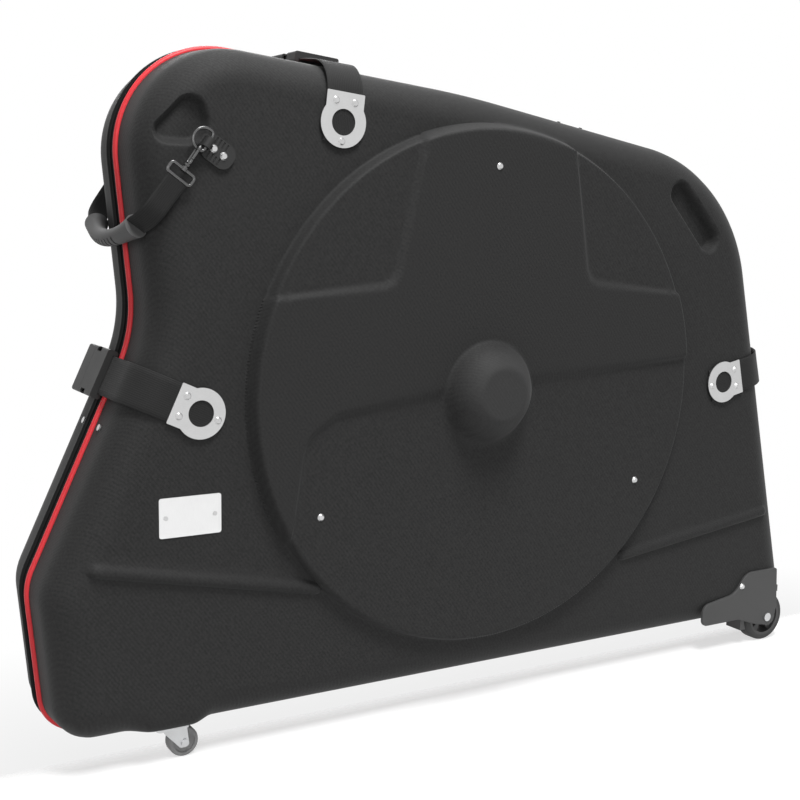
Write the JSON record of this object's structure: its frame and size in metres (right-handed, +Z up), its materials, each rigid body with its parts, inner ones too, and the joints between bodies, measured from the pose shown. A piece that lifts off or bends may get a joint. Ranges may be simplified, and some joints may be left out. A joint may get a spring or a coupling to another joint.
{
  "type": "bike travel case",
  "caption": "Moulded two-shell travel case for a bicycle, with wheel dishes, zip, lashing straps, folding carry handle, rear wheels and front swivel casters.",
  "frame": {"origin": "on the floor, midway along and across the case", "axes": "+X along the case from the handle end to the wheel end, +Y through its thickness towards the far shell, +Z up"},
  "size_m": [1.1655, 0.296, 0.8431],
  "materials": {
    "shell_skin": "woven, matt",
    "piping_red": "glossy",
    "piping_dark": "satin",
    "zip_tape": "woven",
    "webbing": "ribbed webbing",
    "plate_steel": "satin",
    "buckle_plastic": "satin",
    "tab_rubber": "matt",
    "nickel": "bright",
    "grip_rubber": "matt",
    "name_plate_metal": "satin",
    "zip_metal": "satin",
    "caster_zinc": "bright zinc",
    "caster_grey": "satin",
    "housing_grey": "fine grain",
    "wheel_plastic": "satin",
    "tyre_rubber": "matt"
  },
  "bodies": {
    "near_case": {"near_shell": "shell_skin", "near_piping": "piping_red", "near_zip_tape": "zip_tape", "near_strap_plates": "plate_steel", "near_fasteners": "plate_steel", "near_wheel_straps": "webbing", "near_handle_tab": "tab_rubber", "near_d_ring": "nickel", "near_caster_plate": "caster_zinc", "near_rear_housing": "housing_grey", "near_rear_axle": "nickel", "name_plate": "name_plate_metal", "hinge_strip": "zip_tape", "top_strap_near": "webbing", "front_strap_near": "webbing", "rear_strap_near": "webbing", "top_buckle_female": "buckle_plastic", "front_buckle_female": "buckle_plastic", "rear_buckle_female": "buckle_plastic"},
    "far_case": {"far_shell": "shell_skin", "far_piping": "piping_dark", "far_zip_tape": "zip_tape", "far_strap_plates": "plate_steel", "far_fasteners": "plate_steel", "far_wheel_straps": "webbing", "far_handle_tab": "tab_rubber", "far_d_ring": "nickel", "far_caster_plate": "caster_zinc", "far_rear_housing": "housing_grey", "far_rear_axle": "nickel", "top_strap_far": "webbing", "front_strap_far": "webbing", "rear_strap_far": "webbing", "top_buckle_male": "buckle_plastic", "front_buckle_male": "buckle_plastic", "rear_buckle_male": "buckle_plastic"},
    "near_handle": {"near_snap_hook": "nickel", "near_strap_eye": "nickel", "near_handle_strap": "webbing", "handle_grip": "grip_rubber"},
    "far_handle": {"far_snap_hook": "nickel", "far_strap_eye": "nickel", "far_handle_strap": "webbing"},
    "zip_slider_front": {"zip_slider_front": "zip_metal"},
    "zip_slider_rear": {"zip_slider_rear": "zip_metal"},
    "zip_pull_front": {"zip_pull_front": "zip_metal"},
    "zip_pull_rear": {"zip_pull_rear": "zip_metal"},
    "near_gate": {"near_hook_gate": "nickel"},
    "near_rear_wheel": {"near_rear_hub": "wheel_plastic", "near_rear_tyre": "tyre_rubber"},
    "near_caster": {"near_caster_fork": "caster_zinc", "near_caster_axle": "caster_zinc"},
    "near_caster_roller": {"near_caster_wheel": "caster_grey"},
    "far_gate": {"far_hook_gate": "nickel"},
    "far_rear_wheel": {"far_rear_hub": "wheel_plastic", "far_rear_tyre": "tyre_rubber"},
    "far_caster": {"far_caster_fork": "caster_zinc", "far_caster_axle": "caster_zinc"},
    "far_caster_roller": {"far_caster_wheel": "caster_grey"}
  },
  "joints": [
    {"name": "case_open", "type": "hinge", "parent": "near_case", "child": "far_case", "pos_m": [0, 0, 0.0364], "axis": [-1, 0, 0], "range_deg": [0, 100], "deforming": ["hinge_strip"]},
    {"name": "near_handle_swing", "type": "hinge", "parent": "near_case", "child": "near_handle", "pos_m": [-0.393, -0.102, 0.727], "axis": [0, 1, 0], "range_deg": [0, 120]},
    {"name": "near_gate_snap", "type": "hinge", "parent": "near_handle", "child": "near_gate", "pos_m": [-0.40822, -0.1064, 0.70605], "axis": [-0.809, 0, 0.5878], "range_deg": [0, 20], "stiffness_Nm_per_rad": 0.02},
    {"name": "near_rear_wheel_roll", "type": "hinge", "parent": "near_case", "child": "near_rear_wheel", "pos_m": [0.53, -0.079, 0.038], "axis": [0, 1, 0], "continuous": true},
    {"name": "near_caster_swivel", "type": "hinge", "parent": "near_case", "child": "near_caster", "pos_m": [-0.43, -0.064, 0.036], "axis": [0, 0, 1], "continuous": true},
    {"name": "near_caster_roll", "type": "hinge", "parent": "near_caster", "child": "near_caster_roller", "pos_m": [-0.413, -0.064, 0.0185], "axis": [0, 1, 0], "continuous": true},
    {"name": "far_handle_swing", "type": "hinge", "parent": "far_case", "child": "far_handle", "pos_m": [-0.393, 0.102, 0.727], "axis": [0, 1, 0], "range_deg": [0, 120]},
    {"name": "far_gate_snap", "type": "hinge", "parent": "far_handle", "child": "far_gate", "pos_m": [-0.40822, 0.1064, 0.70605], "axis": [0.809, 0, -0.5878], "range_deg": [0, 20], "stiffness_Nm_per_rad": 0.02},
    {"name": "far_rear_wheel_roll", "type": "hinge", "parent": "far_case", "child": "far_rear_wheel", "pos_m": [0.53, 0.079, 0.038], "axis": [0, 1, 0], "continuous": true},
    {"name": "far_caster_swivel", "type": "hinge", "parent": "far_case", "child": "far_caster", "pos_m": [-0.43, 0.064, 0.036], "axis": [0, 0, 1], "continuous": true},
    {"name": "far_caster_roll", "type": "hinge", "parent": "far_caster", "child": "far_caster_roller", "pos_m": [-0.413, 0.064, 0.0185], "axis": [0, 1, 0], "continuous": true},
    {"name": "zip_slide_front", "type": "slide", "parent": "near_case", "child": "zip_slider_front", "axis": [-0.9842, 0, 0.1768], "range_m": [0, 0.12]},
    {"name": "zip_pull_lift_front", "type": "hinge", "parent": "zip_slider_front", "child": "zip_pull_front", "pos_m": [0.16927, 0, 0.77495], "axis": [0, -1, 0], "range_deg": [0, 120]},
    {"name": "zip_slide_rear", "type": "slide", "parent": "near_case", "child": "zip_slider_rear", "axis": [0.9842, 0, -0.1768], "range_m": [0, 0.07]},
    {"name": "zip_pull_lift_rear", "type": "hinge", "parent": "zip_slider_rear", "child": "zip_pull_rear", "pos_m": [0.20727, 0, 0.76813], "axis": [0, -1, 0], "range_deg": [0, 120]}
  ],
  "couplings": [
    {"joint": "far_handle_swing", "follows": "near_handle_swing", "ratio": 1}
  ]
}
